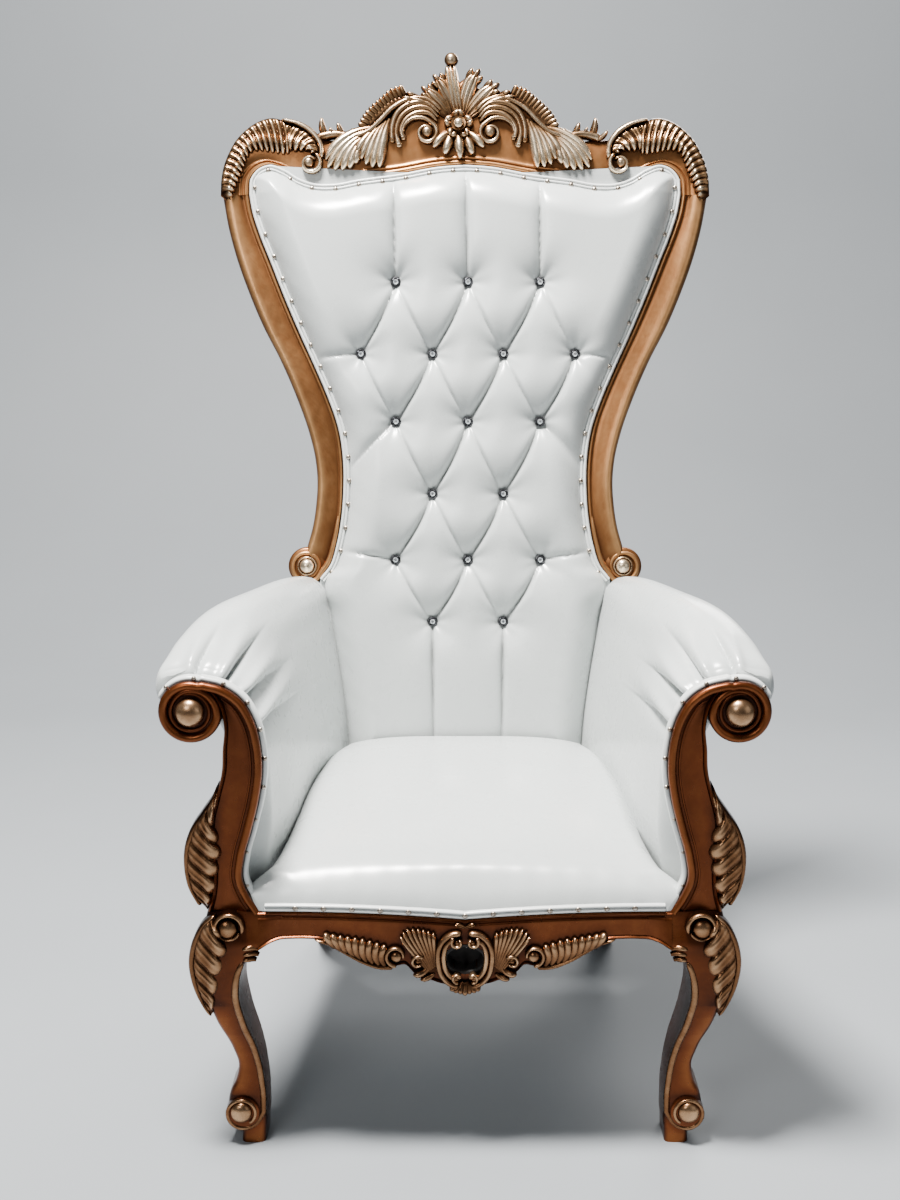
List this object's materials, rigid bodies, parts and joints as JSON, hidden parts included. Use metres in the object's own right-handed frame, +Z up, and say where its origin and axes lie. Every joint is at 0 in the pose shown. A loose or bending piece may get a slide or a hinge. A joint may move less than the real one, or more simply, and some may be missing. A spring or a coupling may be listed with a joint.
{
  "type": "throne",
  "caption": "High-backed carved throne armchair: hourglass tufted back under a carved crest, rolled arms with volutes, domed seat, scrolled legs.",
  "frame": {"origin": "on the floor under the middle of the whole chair's box", "axes": "+Z up, the chair faces -Y, +X to the right as seen from the front"},
  "size_m": [0.868, 0.7764, 1.6147],
  "materials": {
    "frame_copper": "carved wood in satin copper-gold metallic paint, rubbed dark in the grooves",
    "gilt_carving": "carving gilded in pale champagne gold over dark antique brown",
    "white_leather": "soft white faux leather, satin",
    "white_gimp": "narrow white faux-leather band",
    "crystal": "faceted crystal in a dark metal ring",
    "antique_nail": "small domed antique brass upholstery nails"
  },
  "bodies": {
    "root": {"apron": "frame_copper", "front_leg_left": "frame_copper", "front_leg_right": "frame_copper", "rear_leg_left": "frame_copper", "rear_leg_right": "frame_copper", "side_rail_left": "frame_copper", "side_rail_right": "frame_copper", "rear_rail": "frame_copper", "arm_front_left": "frame_copper", "arm_front_right": "frame_copper", "back_post_left": "frame_copper", "back_post_right": "frame_copper", "crest": "gilt_carving", "seat_pad": "white_leather", "back_pad": "white_leather", "arm_pad_left": "white_leather", "arm_pad_right": "white_leather", "outside_back": "white_leather", "back_gimp": "white_gimp", "seat_gimp": "white_gimp", "arm_gimp_left": "white_gimp", "arm_gimp_right": "white_gimp", "button_01": "crystal", "button_02": "crystal", "button_03": "crystal", "button_04": "crystal", "button_05": "crystal", "button_06": "crystal", "button_07": "crystal", "button_08": "crystal", "button_09": "crystal", "button_10": "crystal", "button_11": "crystal", "button_12": "crystal", "button_13": "crystal", "button_14": "crystal", "button_15": "crystal", "button_16": "crystal", "button_17": "crystal"}
  },
  "joints": []
}
